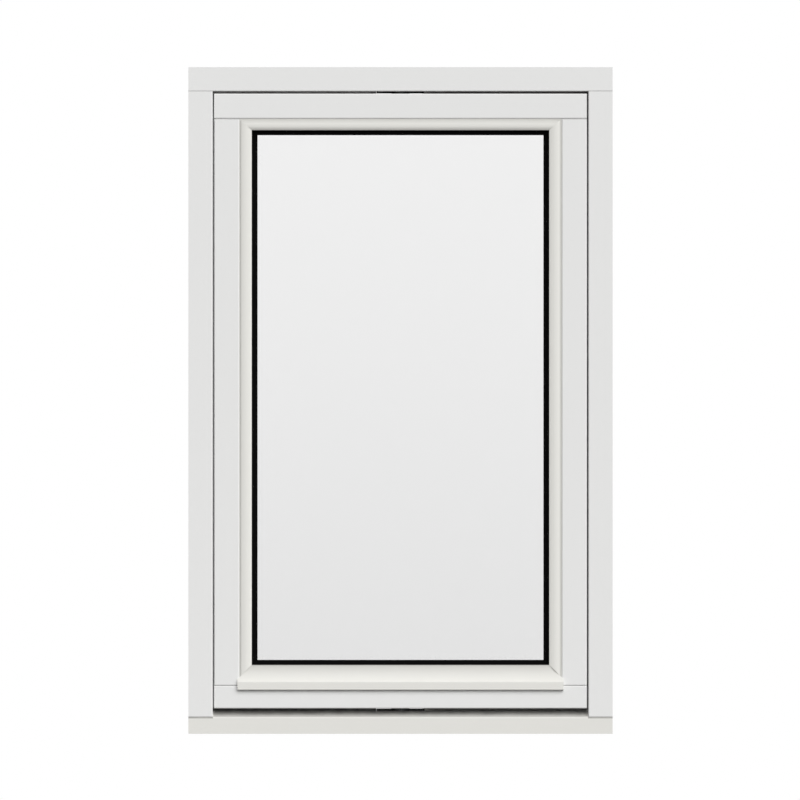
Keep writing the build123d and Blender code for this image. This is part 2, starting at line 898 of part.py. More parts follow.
def make_keeps(nodes):
    """Keep plates over the bolt's slots in the head and the sill."""
    end_x = rebate_x - keep_edge
    start_x = end_x - keep_length
    half = keep_width / 2
    slot_y = rod_thickness / 2 + keep_play
    slot_x0, slot_x1 = rod_inner_x - keep_play, rod_outer_x + keep_play
    screws = []
    for name, member, face, up in (("upper", "frame_head", head_z, 1), ("lower", "frame_sill", sill_z, -1)):
        inner, deep = face + up * keep_thickness, face + up * keep_depth
        plate = block(start_x, end_x, lock_y - half, lock_y + half, min(face, inner), max(face, inner))
        slot = block(slot_x0, slot_x1, lock_y - slot_y, lock_y + slot_y, min(face, deep), max(face, deep))
        fixing = Rot(X=90 + up * 90) * screw(screw_radius, screw_head, screw_length)
        reaches = [keep_screw_inset, keep_screw_inset + keep_screw_pitch]
        pair = [Pos(start_x + reach, lock_y, face) * fixing for reach in reaches]
        nodes[f"{name}_bolt_keep"] = plate - slot
        cut(nodes, [member], [plate, slot])
        cut(nodes, [member, f"{name}_bolt_keep"], pair)
        screws += pair
    nodes["keep_screws"] = group(*screws)


# Handle


def make_handle(nodes):
    """Rosette on the stile, and a lever, up while unlocked, with a round neck on the square spindle."""
    axis = Pos(handle_x, sash_back, handle_height) * Rot(X=-90)
    shape = RectangleRounded(rosette_width, rosette_height, rosette_width / 2 - rosette_edge)
    rosette = extrude(shape, amount=rosette_thickness)
    rosette = fillet(rosette.edges().group_by(Axis.Z)[-1], rosette_edge)
    rosette -= disc(neck_radius + neck_fit, 0, rosette_thickness)
    length = rosette_thickness + glazing_lip / 2 - case_inside
    fixing = screw(screw_radius, screw_head, length)
    screws = [axis * Pos(0, side * rosette_screw_reach, rosette_thickness) * fixing for side in (-1, 1)]
    root = Circle(lever_root_radius).edge()
    tip = Pos(Y=-lever_length) * Circle(lever_tip_radius).edge()
    grip = Pos(Z=lever_back) * extrude(make_hull([root, tip]), amount=lever_thickness)
    grip = fillet(grip.edges().group_by(Axis.Z)[-1] + grip.edges().group_by(Axis.Z)[0], lever_edge)
    lever = grip + disc(neck_radius, neck_seat, lever_back + lever_edge)
    nodes["handle_rosette"] = axis * rosette
    nodes["rosette_screws"] = group(*screws)
    nodes["handle_lever"] = axis * lever - spindle(spindle_fit)
    nodes["handle_spindle"] = spindle(0)
    nodes["drive_pinion"] = make_pinion()
    cut(nodes, ["handle_rosette", "sash_stile_right", "gearbox_lid"], screws)


# Fixings


def make_fixings(nodes):
    """Screws through the frame's corners, and sleeves with caps for fixing the jambs to a wall."""
    corner_x = (half_width + lip_room_x) / 2
    fixing = screw(corner_screw_radius, corner_screw_head, corner_screw_length)
    screws = [
        Pos(side * corner_x, corner_screw_setback + n * corner_screw_pitch, z) * turn * fixing
        for side in (-1, 1)
        for n in range(2)
        for z, turn in ((frame_height, Rot()), (0, Rot(X=180)))
    ]
    sleeves, holes, caps = [], [], []
    for side, face in ((-1, lip_room_x), (1, rebate_x)):
        wall = half_width - face
        for z in (fixing_inset, frame_height - fixing_inset):
            place = Pos(side * face, axis_y + fixing_setback, z) * Rot(Y=side * 90)
            caps.append(place * disc(cap_radius, 0, cap_thickness))
            holes.append(place * disc(sleeve_radius, 0, wall))
            sleeves.append(place * ring(sleeve_bore, sleeve_radius, cap_thickness, wall))
    cut(nodes, ["frame_jamb_left", "frame_jamb_right"], holes + caps)
    cut(nodes, ["frame_head", "frame_sill", "frame_jamb_left", "frame_jamb_right"], screws)
    nodes["frame_corner_screws"] = group(*screws)
    nodes["fixing_sleeves"] = group(*sleeves)
    nodes["fixing_caps"] = group(*caps)


def main():
    """Builds every piece and writes it to its own file."""
    nodes = {**make_frame(), **make_sash(), **make_glazing()}
    nodes.update(make_beads([nodes["sash_stile_left"], nodes["sash_stile_right"]]))
    make_dowels(nodes)
    make_pivots(nodes)
    make_strips(nodes)
    make_lock(nodes)
    make_keeps(nodes)
    make_handle(nodes)
    make_fixings(nodes)
    for name, piece in nodes.items():
        export_step(piece, f"parts/{name}.step")


main()
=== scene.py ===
"""Looks of a vertical pivot window: finishes, fine detail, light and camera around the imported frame.

Metres throughout. X runs to the right seen from outside, -Y is outside and +Z is up.
"""

from __future__ import annotations

import json
import logging
from dataclasses import dataclass
from enum import Enum
from math import pi

import bpy
import numpy as np
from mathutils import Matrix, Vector

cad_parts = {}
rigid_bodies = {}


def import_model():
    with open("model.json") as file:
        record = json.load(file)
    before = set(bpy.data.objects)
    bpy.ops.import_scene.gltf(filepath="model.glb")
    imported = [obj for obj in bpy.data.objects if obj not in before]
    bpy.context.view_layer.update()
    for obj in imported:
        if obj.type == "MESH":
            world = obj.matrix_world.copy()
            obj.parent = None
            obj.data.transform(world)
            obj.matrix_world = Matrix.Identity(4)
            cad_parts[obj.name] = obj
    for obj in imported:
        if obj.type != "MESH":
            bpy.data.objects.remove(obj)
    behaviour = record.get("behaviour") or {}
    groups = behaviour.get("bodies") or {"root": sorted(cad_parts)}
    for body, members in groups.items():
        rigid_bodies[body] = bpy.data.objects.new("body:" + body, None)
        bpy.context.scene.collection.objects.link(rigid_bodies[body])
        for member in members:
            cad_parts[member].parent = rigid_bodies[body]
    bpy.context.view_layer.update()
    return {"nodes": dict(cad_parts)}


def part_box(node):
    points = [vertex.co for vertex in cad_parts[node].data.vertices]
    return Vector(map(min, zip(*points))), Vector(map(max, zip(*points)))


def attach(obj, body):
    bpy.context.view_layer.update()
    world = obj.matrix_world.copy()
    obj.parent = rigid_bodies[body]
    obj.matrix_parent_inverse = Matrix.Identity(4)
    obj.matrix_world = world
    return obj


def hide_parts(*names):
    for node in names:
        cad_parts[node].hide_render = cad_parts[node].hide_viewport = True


LOG = logging.getLogger("window")
MM = 0.001
SCREEN_WHITE = 255.0
Colour = tuple[float, float, float, float]
Direction = tuple[float, float, float]
WHITE: Colour = (1.0, 1.0, 1.0, 1.0)
# Numbers of a Mix node's colour sockets, whose names it shares with its other kinds.
MIX_FIRST, MIX_SECOND, MIX_RESULT = 6, 7, 2


def screen(red: float, green: float, blue: float) -> Colour:
    """A linear colour from screen levels of 0 to 255, by the usual screen curve.

    Args:
        red, green, blue: levels as they appear on a screen.

    Returns:
        The colour in scene units with full alpha.
    """
    level = np.array([red, green, blue]) / SCREEN_WHITE
    linear = np.where(level <= 0.04045, level / 12.92, ((level + 0.055) / 1.055) ** 2.4)
    return (*(float(value) for value in linear), 1.0)


def grey(level: float) -> Colour:
    """A neutral linear colour."""
    return (level, level, level, 1.0)


class Grain(Enum):
    """Which way a timber member's grain runs, as how fast a pattern changes along X, Y and Z."""

    UPRIGHT = (1.0, 1.0, 0.012)
    LEVEL = (0.012, 1.0, 1.0)


class Axis(Enum):
    """A coordinate of the surface point; WIDTH counts from the window's middle to both sides."""

    WIDTH = 0
    DEPTH = 1
    HEIGHT = 2


class Facing(Enum):
    """The direction that a screw's head faces."""

    RIGHT = (1.0, 0.0, 0.0)
    IN = (0.0, 1.0, 0.0)
    UP = (0.0, 0.0, 1.0)
    DOWN = (0.0, 0.0, -1.0)


# Node trees


@dataclass
class Shader:
    """Short calls for the nodes and links of one tree."""

    tree: bpy.types.NodeTree

    @classmethod
    def blank(cls, owner: bpy.types.Material | bpy.types.World) -> Shader:
        """A shader on the emptied tree of a material or a world."""
        owner.use_nodes = True
        owner.node_tree.nodes.clear()
        return cls(owner.node_tree)

    def add(self, kind: str, *inputs: object, **settings: object) -> bpy.types.Node:
        """Adds a node.

        Args:
            kind: the node's type name.
            inputs: a value or an output socket for each input in turn; None leaves one as it is.
            settings: properties of the node.

        Returns:
            The new node.
        """
        node = self.tree.nodes.new(kind)
        for name, value in settings.items():
            setattr(node, name, value)
        for socket, value in zip(node.inputs, inputs):
            self.feed(socket, value)
        return node

    def feed(self, socket: bpy.types.NodeSocket, value: object) -> None:
        """Links an output to an input, or sets the input's own value."""
        if isinstance(value, bpy.types.NodeSocket):
            self.tree.links.new(value, socket)
        elif value is not None:
            socket.default_value = value

    def math(self, operation: str, *inputs: object) -> bpy.types.NodeSocket:
        """The result of a Math node."""
        return self.add("ShaderNodeMath", *inputs, operation=operation).outputs[0]

    def noise(self, vector: object, scale: object, detail: float, rough: float = 0.5) -> bpy.types.NodeSocket:
        """The value of a noise texture at a vector, from 0 to 1."""
        return self.add("ShaderNodeTexNoise", vector, None, scale, detail, rough).outputs["Fac"]

    def mixed(self, first: object, second: object, second_share: float) -> bpy.types.NodeSocket:
        """Two values added in shares that make one."""
        part = self.math("MULTIPLY", second, second_share)
        return self.math("MULTIPLY_ADD", first, 1.0 - second_share, part)

    def stretched(self, vector: object, scale: Direction) -> bpy.types.NodeSocket:
        """A vector scaled along each axis."""
        node = self.add("ShaderNodeMapping", vector)
        node.inputs["Scale"].default_value = scale
        return node.outputs[0]

    def ranged(
        self, value: object, low: object = 0.0, high: object = 1.0, start: float = 0.0, end: float = 1.0
    ) -> bpy.types.NodeSocket:
        """A value carried from the range low..high to the range start..end, held at both ends."""
        return self.add("ShaderNodeMapRange", value, low, high, start, end).outputs[0]

    def blend(self, share: object, first: object, second: object) -> bpy.types.NodeSocket:
        """A colour between two colours."""
        node = self.add("ShaderNodeMix", data_type="RGBA")
        self.feed(node.inputs["Factor"], share)
        self.feed(node.inputs[MIX_FIRST], first)
        self.feed(node.inputs[MIX_SECOND], second)
        return node.outputs[MIX_RESULT]

    def bump(self, height: object, strength: float, distance: float) -> bpy.types.NodeSocket:
        """A normal from a height."""
        node = self.add("ShaderNodeBump")
        node.inputs["Strength"].default_value = strength
        node.inputs["Distance"].default_value = distance
        self.feed(node.inputs["Height"], height)
        return node.outputs[0]

    def place(self) -> bpy.types.NodeSocket:
        """The surface point in the piece's own coordinates."""
        return self.add("ShaderNodeTexCoord").outputs["Object"]

    def group(self, tree: bpy.types.NodeTree, **inputs: object) -> bpy.types.Node:
        """A shared effect with its own values; an input's name has _ for a space."""
        node = self.add("ShaderNodeGroup", node_tree=tree)
        for name, value in inputs.items():
            self.feed(node.inputs[name.replace("_", " ")], value)
        return node


class Effects:
    """Shared effects, each a node group that is built once."""

    def __init__(self) -> None:
        """Builds the groups."""
        self.paint_film = self._paint_film()
        self.grain_lines = self._grain_lines()
        self.settled_dust = self._settled_dust()
        self.speckle = self._speckle()
        self.drawn_lines = self._drawn_lines()
        self.painted_shade_film = self._painted_shade_film()

    @staticmethod
    def _start(name: str, inputs: dict[str, str], outputs: tuple[str, ...]) -> tuple[Shader, dict, dict]:
        """Starts a group.

        Args:
            name: the group's name.
            inputs: input names with their socket kinds, "Float" or "Vector".
            outputs: names of the values that it puts out.

        Returns:
            The shader, its input sockets by name and its output sockets by name.
        """
        tree = bpy.data.node_groups.new(name, "ShaderNodeTree")
        for label, kind in inputs.items():
            tree.interface.new_socket(label, in_out="INPUT", socket_type=f"NodeSocket{kind}")
        for label in outputs:
            tree.interface.new_socket(label, in_out="OUTPUT", socket_type="NodeSocketFloat")
        shader = Shader(tree)
        entry = shader.add("NodeGroupInput")
        exit_ = shader.add("NodeGroupOutput")
        return (
            shader,
            {label: entry.outputs[label] for label in inputs},
            {label: exit_.inputs[label] for label in outputs},
        )

    def _paint_film(self) -> bpy.types.NodeTree:
        """Brush streaks along the grain, orange peel, and slow changes of tone and gloss."""
        inputs = {"Along": "Vector", "Place": "Vector", "Tone Change": "Float"}
        shader, given, out = self._start("paint_film", inputs, ("Height", "Tone", "Gloss"))
        streaks = shader.noise(given["Along"], scale=520.0, detail=4.0, rough=0.62)
        peel = shader.noise(given["Place"], scale=950.0, detail=2.0)
        broad = shader.noise(given["Place"], scale=7.0, detail=3.0)
        mixed = shader.mixed(streaks, broad, second_share=0.65)
        shader.feed(out["Height"], shader.mixed(streaks, peel, second_share=0.3))
        centred = shader.math("SUBTRACT", mixed, 0.5)
        shader.feed(out["Tone"], shader.math("MULTIPLY_ADD", centred, given["Tone Change"], 1.0))
        shader.feed(out["Gloss"], shader.ranged(mixed, low=0.3, high=0.7))
        return shader.tree

    def _grain_lines(self) -> bpy.types.NodeTree:
        """Growth lines of timber that run along the grain."""
        inputs = {"Along": "Vector", "Spacing": "Float"}
        shader, given, out = self._start("grain_lines", inputs, ("Height", "Lines"))
        warp = shader.noise(given["Along"], scale=30.0, detail=2.0)
        fine = shader.noise(given["Along"], given["Spacing"], detail=5.0, rough=0.55)
        warp_share = 0.3
        lines = shader.math("MULTIPLY_ADD", warp, warp_share, fine)
        shader.feed(out["Height"], lines)
        shader.feed(out["Lines"], shader.ranged(lines, low=0.45, high=0.85))
        return shader.tree

    def _settled_dust(self) -> bpy.types.NodeTree:
        """A thin uneven film of dust on faces that look up."""
        shader, given, out = self._start("settled_dust", {"Place": "Vector", "Amount": "Float"}, ("Mask",))
        normal = shader.add("ShaderNodeNewGeometry").outputs["Normal"]
        up = shader.add("ShaderNodeSeparateXYZ", normal).outputs[2]
        facing = shader.ranged(up, low=0.55)
        uneven = shader.noise(given["Place"], scale=60.0, detail=5.0, rough=0.6)
        patch = shader.ranged(uneven, low=0.35, high=0.7, start=0.25)
        mask = shader.math("MULTIPLY", shader.math("MULTIPLY", facing, patch), given["Amount"])
        shader.feed(out["Mask"], mask)
        return shader.tree

    def _speckle(self) -> bpy.types.NodeTree:
        """Fine moulded texture with a slow change of tone."""
        inputs = {"Place": "Vector", "Fineness": "Float"}
        shader, given, out = self._start("speckle", inputs, ("Height", "Tone"))
        fine = shader.noise(given["Place"], given["Fineness"], detail=3.0, rough=0.6)
        slow = shader.noise(given["Place"], scale=25.0, detail=2.0)
        shader.feed(out["Height"], fine)
        shader.feed(out["Tone"], shader.mixed(slow, fine, second_share=0.5))
        return shader.tree

    def _drawn_lines(self) -> bpy.types.NodeTree:
        """Drawing or brushing lines of a metal, with patches of duller plating."""
        inputs = {"Along": "Vector", "Place": "Vector"}
        shader, given, out = self._start("drawn_lines", inputs, ("Height", "Patches"))
        shader.feed(out["Height"], shader.noise(given["Along"], scale=1500.0, detail=3.0, rough=0.6))
        cloud = shader.noise(given["Place"], scale=90.0, detail=4.0, rough=0.6)
        shader.feed(out["Patches"], shader.ranged(cloud, low=0.35, high=0.65))
        return shader.tree

    def _painted_shade_film(self) -> bpy.types.NodeTree:
        """A film of painted shade that grows from an unshaded to a fully shaded value of one coordinate, a
        little patchy.
        """
        inputs = {"Place": "Vector", **dict.fromkeys(("Coordinate", "Clean", "Soiled", "Amount"), "Float")}
        shader, given, out = self._start("painted_shade_film", inputs, ("Mask",))
        grown = shader.ranged(given["Coordinate"], given["Clean"], given["Soiled"])
        uneven = shader.noise(given["Place"], scale=45.0, detail=4.0, rough=0.6)
        patch = shader.ranged(uneven, low=0.3, high=0.7, start=0.94)
        mask = shader.math("MULTIPLY", shader.math("MULTIPLY", grown, patch), given["Amount"])
        shader.feed(out["Mask"], mask)
        return shader.tree


# Finishes


@dataclass(frozen=True)
class Soil:
    """Painted shade that grows along one coordinate.

    Args:
        axis: the coordinate.
        clean, soiled: where the painted shade starts and where it is full.
        amount: the share of the paint that the full film hides.
    """

    axis: Axis
    clean: float
    shaded_at: float
    amount: float = 1.0


# A set of painted shade films whose masks are multiplied into one.
PaintedShadeSet = tuple[Soil, ...]


@dataclass(frozen=True)
class Finish:
    """What every finish has: a name for its material."""

    name: str

    def material(self, effects: Effects) -> bpy.types.Material:
        """Builds the material.

        Args:
            effects: the shared node groups.

        Returns:
            The finished material.
        """
        made = bpy.data.materials.new(self.name)
        shader = Shader.blank(made)
        surface = shader.add("ShaderNodeBsdfPrincipled")
        out = shader.add("ShaderNodeOutputMaterial")
        shader.feed(out.inputs["Surface"], self.dress(shader, surface, effects))
        return made

    def dress(self, shader: Shader, surface: bpy.types.Node, effects: Effects) -> bpy.types.NodeSocket:
        """Sets up the surface's shader.

        Args:
            shader: the material's tree.
            surface: its Principled shader.
            effects: the shared node groups.

        Returns:
            What the material's output shows.
        """
        raise NotImplementedError


@dataclass(frozen=True)
class PaintedTimber(Finish):
    """Sprayed and brushed white paint over planed timber."""

    colour: Colour
    grain: Grain
    # Sets of films of painted shade for grooves, gaps and corners, and the dark colour that they blend the
    # paint towards.
    painted_shades: tuple[PaintedShadeSet, ...] = ()
    painted_shade_colour: Colour = screen(46, 45, 40)
    tone_change: float = 0.022
    rough_low: float = 0.47
    rough_high: float = 0.56
    specular: float = 0.3
    dust_colour: Colour = screen(176, 172, 164)
    dust_amount: float = 0.16
    film_height: float = 0.05 * MM
    film_bump: float = 0.35
    grain_spacing: float = 150.0
    grain_share: float = 0.45

    def dress(self, shader: Shader, surface: bpy.types.Node, effects: Effects) -> bpy.types.NodeSocket:
        """Paint tone, dust and painted shade for the colour, streaks for gloss and height."""
        place = shader.place()
        along = shader.stretched(place, self.grain.value)
        film = shader.group(effects.paint_film, Along=along, Place=place, Tone_Change=self.tone_change)
        lines = shader.group(effects.grain_lines, Along=along, Spacing=self.grain_spacing)
        dust = shader.group(effects.settled_dust, Place=place, Amount=self.dust_amount)
        toned = shader.add("ShaderNodeVectorMath", self.colour[:3], operation="SCALE")
        shader.feed(toned.inputs["Scale"], film.outputs["Tone"])
        colour = shader.blend(dust.outputs["Mask"], toned.outputs[0], self.dust_colour)
        # Painted shade: each set of films darkens the paint towards a dark colour in grooves, gaps and
        # corners.
        for films in self.painted_shades:
            colour = shader.blend(self.shaded_at(shader, effects, place, films), colour, self.painted_shade_colour)
        rough = shader.ranged(film.outputs["Gloss"], start=self.rough_low, end=self.rough_high)
        shader.feed(surface.inputs["Base Color"], colour)
        shader.feed(surface.inputs["Roughness"], shader.math("ADD", rough, dust.outputs["Mask"]))
        surface.inputs["Specular IOR Level"].default_value = self.specular
        grain = lines.outputs["Height"]
        height = shader.math("MULTIPLY_ADD", grain, self.grain_share, film.outputs["Height"])
        shader.feed(surface.inputs["Normal"], shader.bump(height, self.film_bump, self.film_height))
        return surface.outputs[0]

    @staticmethod
    def shaded_at(
        shader: Shader, effects: Effects, place: bpy.types.NodeSocket, films: PaintedShadeSet
    ) -> bpy.types.NodeSocket:
        """How much painted shade hides the paint where all the films of one set meet.

        Args:
            shader: the material's tree.
            effects: the shared node groups.
            place: the surface point.
            films: films that are multiplied with each other.

        Returns:
            A mask from 0 to 1.
        """
        axes = shader.add("ShaderNodeSeparateXYZ", place).outputs
        share = None
        for film in films:
            value = axes[film.axis.value]
            if film.axis is Axis.WIDTH:
                value = shader.math("ABSOLUTE", value)
            group = shader.group(
                effects.painted_shade_film,
                Place=place,
                Coordinate=value,
                Clean=film.clean,
                Soiled=film.shaded_at,
                Amount=film.amount,
            )
            mask = group.outputs["Mask"]
            share = mask if share is None else shader.math("MULTIPLY", share, mask)
        return share


@dataclass(frozen=True)
class BareTimber(Finish):
    """Planed beech with darker growth lines."""

    pale: Colour
    dark: Colour
    grain: Grain
    spacing: float = 420.0
    rough_low: float = 0.55
    rough_high: float = 0.7
    line_height: float = 0.1 * MM
    line_bump: float = 0.4

    def dress(self, shader: Shader, surface: bpy.types.Node, effects: Effects) -> bpy.types.NodeSocket:
        """Growth lines for colour, gloss and height."""
        along = shader.stretched(shader.place(), self.grain.value)
        lines = shader.group(effects.grain_lines, Along=along, Spacing=self.spacing)
        share, height = lines.outputs["Lines"], lines.outputs["Height"]
        shader.feed(surface.inputs["Base Color"], shader.blend(share, self.pale, self.dark))
        rough = shader.ranged(share, start=self.rough_low, end=self.rough_high)
        shader.feed(surface.inputs["Roughness"], rough)
        shader.feed(surface.inputs["Normal"], shader.bump(height, self.line_bump, self.line_height))
        return surface.outputs[0]


@dataclass(frozen=True)
class FloatGlass(Finish):
    """Clear float glass with a painted reflection: its tint a little darker towards the foot of the pane."""

    foot: float
    head: float
    clear: Colour = grey(0.930)
    darker_foot: Colour = grey(0.866)
    growth: float = 1.2
    ior: float = 1.5
    shadow_tint: Colour = grey(0.93)

    def dress(self, shader: Shader, surface: bpy.types.Node, effects: Effects) -> bpy.types.NodeSocket:
        """Transmission with a painted reflection that darkens towards the foot by height; lamps shine
        through.
        """
        height = shader.add("ShaderNodeSeparateXYZ", shader.place()).outputs[2]
        share = shader.math("POWER", shader.ranged(height, self.head, self.foot), self.growth)
        shader.feed(surface.inputs["Base Color"], shader.blend(share, self.clear, self.darker_foot))
        surface.inputs["Roughness"].default_value = 0.0
        surface.inputs["IOR"].default_value = self.ior
        surface.inputs["Transmission Weight"].default_value = 1.0
        through = shader.add("ShaderNodeBsdfTransparent", self.shadow_tint).outputs[0]
        lit = shader.add("ShaderNodeLightPath").outputs["Is Shadow Ray"]
        return shader.add("ShaderNodeMixShader", lit, surface.outputs[0], through).outputs[0]


@dataclass(frozen=True)
class Moulded(Finish):
    """Moulded rubber or plastic with a fine texture."""

    colour: Colour
    lighter: Colour
    rough_low: float
    rough_high: float
    specular: float
    fineness: float = 2200.0
    texture_height: float = 0.06 * MM
    texture_bump: float = 0.3

    def dress(self, shader: Shader, surface: bpy.types.Node, effects: Effects) -> bpy.types.NodeSocket:
        """Speckle for colour, gloss and height."""
        texture = shader.group(effects.speckle, Place=shader.place(), Fineness=self.fineness)
        share = shader.ranged(texture.outputs["Tone"], low=0.3, high=0.7)
        shader.feed(surface.inputs["Base Color"], shader.blend(share, self.colour, self.lighter))
        rough = shader.ranged(share, start=self.rough_low, end=self.rough_high)
        shader.feed(surface.inputs["Roughness"], rough)
        surface.inputs["Specular IOR Level"].default_value = self.specular
        height = texture.outputs["Height"]
        shader.feed(surface.inputs["Normal"], shader.bump(height, self.texture_bump, self.texture_height))
        return surface.outputs[0]


@dataclass(frozen=True)
class Metal(Finish):
    """Drawn, plated or anodised metal with fine lines and duller patches."""

    bright: Colour
    dull: Colour
    rough_low: float
    rough_high: float
    lines: Direction
    line_height: float = 0.02 * MM
    line_bump: float = 0.4

    def dress(self, shader: Shader, surface: bpy.types.Node, effects: Effects) -> bpy.types.NodeSocket:
        """Patches for colour and gloss, lines for height."""
        place = shader.place()
        along = shader.stretched(place, self.lines)
        drawn = shader.group(effects.drawn_lines, Along=along, Place=place)
        patches, height = drawn.outputs["Patches"], drawn.outputs["Height"]
        shader.feed(surface.inputs["Base Color"], shader.blend(patches, self.bright, self.dull))
        rough = shader.ranged(patches, start=self.rough_low, end=self.rough_high)
        shader.feed(surface.inputs["Roughness"], rough)
        surface.inputs["Metallic"].default_value = 1.0
        shader.feed(surface.inputs["Normal"], shader.bump(height, self.line_bump, self.line_height))
        return surface.outputs[0]


@dataclass(frozen=True)
class SpacerBar(Finish):
    """Dark spacer between the panes with a row of fine breathing slots along its middle, painted near-black
    as the shade inside them.
    """

    colour: Colour
    slot_shade_colour: Colour
    middle_y: float
    pitch: float = 4.0 * MM
    slot_half: float = 0.5 * MM
    slot_edge: float = 0.7 * MM
    fineness: float = 1800.0
    rough_low: float = 0.4
    rough_high: float = 0.55
    slot_depth: float = -3.0
    relief: float = 0.1 * MM
    relief_bump: float = 0.4

    def dress(self, shader: Shader, surface: bpy.types.Node, effects: Effects) -> bpy.types.NodeSocket:
        """Slots by place for painted shade in the colour and for height, speckle for gloss."""
        place = shader.place()
        axes = shader.add("ShaderNodeSeparateXYZ", place)
        offset = shader.math("ABSOLUTE", shader.math("SUBTRACT", axes.outputs[1], self.middle_y))
        on_line = shader.ranged(offset, self.slot_half, self.slot_edge, start=1.0, end=0.0)
        run = shader.math("ADD", axes.outputs[0], axes.outputs[2])
        step = shader.math("FRACT", shader.math("DIVIDE", run, self.pitch))
        from_middle = shader.math("ABSOLUTE", shader.math("SUBTRACT", step, 0.5))
        gap = shader.ranged(from_middle, low=0.22, high=0.28, start=1.0, end=0.0)
        slots = shader.math("MULTIPLY", on_line, gap)
        texture = shader.group(effects.speckle, Place=place, Fineness=self.fineness)
        shader.feed(surface.inputs["Base Color"], shader.blend(slots, self.colour, self.slot_shade_colour))
        tone = texture.outputs["Tone"]
        rough = shader.ranged(tone, low=0.3, high=0.7, start=self.rough_low, end=self.rough_high)
        shader.feed(surface.inputs["Roughness"], rough)
        height = shader.math("MULTIPLY_ADD", slots, self.slot_depth, texture.outputs["Height"])
        shader.feed(surface.inputs["Normal"], shader.bump(height, self.relief_bump, self.relief))
        return surface.outputs[0]


@dataclass(frozen=True)
class PaintedShadePlaces:
    """Where painted shade darkens the paint in grooves, gaps and corners, from the boxes of the pieces that
    it lies on.

    A field that ends in _start, _full or _end is a distance from the edge that its method names: the film
    starts at _start, is full at _full and is gone again at _end. A field that ends in _amount is the share of
    the paint that a full film hides. The other fields are distances from a gap's or a joint's edge, where a
    film fades out.
    """

    quirk_start: float = 3.4 * MM
    quirk_full: float = 3.0 * MM
    quirk_amount: float = 0.25
    top_bead_start: float = 8.5 * MM
    top_bead_full: float = 2.5 * MM
    top_bead_amount: float = 0.27
    top_lip_start: float = 6.0 * MM
    top_lip_amount: float = 0.4
    foot_slope_start: float = 26.0 * MM
    foot_slope_full: float = 7.0 * MM
    foot_slope_amount: float = 0.15
    foot_lip_start: float = 3.0 * MM
    foot_lip_amount: float = 0.25
    stop_full: float = 8.0 * MM
    stop_end: float = 14.0 * MM
    gap_start: float = 3.0 * MM
    gap_full: float = 8.0 * MM
    gap_edge: float = 2.0 * MM
    bottom_gap_amount: float = 0.97
    top_gap_amount: float = 0.92
    top_gap_over: float = 0.6 * MM
    top_gap_under: float = 0.7 * MM
    top_gap_under_end: float = 1.5 * MM
    sill_full: float = 11.0 * MM
    sill_amount: float = 0.66
    sill_corner: float = 2.0 * MM
    sill_top_start: float = 14.0 * MM
    sill_top_full: float = 11.0 * MM
    joint_full: float = 3.5 * MM
    joint_end: float = 4.5 * MM
    joint_side: float = 1.0 * MM
    joint_under_start: float = 0.6 * MM
    joint_under_full: float = 0.1 * MM
    joint_amount: float = 0.5

    def side_bead(self) -> tuple[PaintedShadeSet, ...]:
        """Painted shade in the groove along the outer edge of the side beads."""
        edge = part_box("glazing_bead_right")[1].x
        return ((Soil(Axis.WIDTH, edge - self.quirk_start, edge - self.quirk_full, self.quirk_amount),),)

    def top_bead(self) -> tuple[PaintedShadeSet, ...]:
        """Painted shade under the top bead's upper edge and along its lower lip."""
        low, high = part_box("glazing_bead_top")
        top = high.z
        upper = Soil(Axis.HEIGHT, top - self.top_bead_start, top - self.top_bead_full, self.top_bead_amount)
        lip = Soil(Axis.HEIGHT, low.z + self.top_lip_start, low.z, self.top_lip_amount)
        return (upper,), (lip,)

    def foot_bead(self) -> tuple[PaintedShadeSet, ...]:
        """Painted shade on the bottom bead's slope, more towards the glass, and along its upper lip."""
        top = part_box("glazing_bead_bottom")[1].z
        slope = Soil(
            Axis.HEIGHT, top - self.foot_slope_start, top - self.foot_slope_full, self.foot_slope_amount
        )
        return (slope,), (Soil(Axis.HEIGHT, top - self.foot_lip_start, top, self.foot_lip_amount),)

    def before_stop(self) -> Soil:
        """Ends a film a little behind the outer stop."""
        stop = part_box("lower_pivot_seal")[0].y
        return Soil(Axis.DEPTH, stop + self.stop_end, stop + self.stop_full)

    def in_gap(self, amount: float) -> Soil:
        """Grows from the outer face into a gap."""
        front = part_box("frame_sill")[0].y
        return Soil(Axis.DEPTH, front + self.gap_start, front + self.gap_full, amount)

    def bottom_rail(self) -> tuple[PaintedShadeSet, ...]:
        """Painted shade on the bottom rail's underside, in the gap over the sill."""
        gap_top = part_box("lower_thrust_washer")[1].z
        under = Soil(Axis.HEIGHT, gap_top + self.gap_edge, gap_top)
        return ((self.in_gap(self.bottom_gap_amount), self.before_stop(), under),)

    def head(self) -> tuple[PaintedShadeSet, ...]:
        """Painted shade on the head's underside and stop, in the gap over the sash."""
        low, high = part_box("upper_thrust_washer")
        over = Soil(Axis.HEIGHT, high.z + self.gap_edge, high.z + self.top_gap_over)
        under = Soil(Axis.HEIGHT, low.z - self.top_gap_under_end, low.z - self.top_gap_under)
        return ((self.in_gap(self.top_gap_amount), self.before_stop(), over, under),)

    def sill(self) -> tuple[PaintedShadeSet, ...]:
        """Painted shade on the sill's bevel between the jambs, and in the joint under the jambs' feet."""
        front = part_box("frame_sill")[0].y
        gap_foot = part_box("lower_thrust_washer")[0].z
        jamb_low, jamb_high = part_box("frame_jamb_left")
        rebate = -jamb_high.x
        bevel = (
            Soil(Axis.DEPTH, front, front + self.sill_full, self.sill_amount),
            self.before_stop(),
            Soil(Axis.WIDTH, rebate, rebate - self.sill_corner),
            Soil(Axis.HEIGHT, gap_foot - self.sill_top_start, gap_foot - self.sill_top_full),
        )
        foot = jamb_low.z
        joint = (
            Soil(Axis.DEPTH, front + self.joint_end, front + self.joint_full, self.joint_amount),
            Soil(Axis.WIDTH, rebate - self.joint_side, rebate),
            Soil(Axis.HEIGHT, foot - self.joint_under_start, foot - self.joint_under_full),
        )
        return bevel, joint


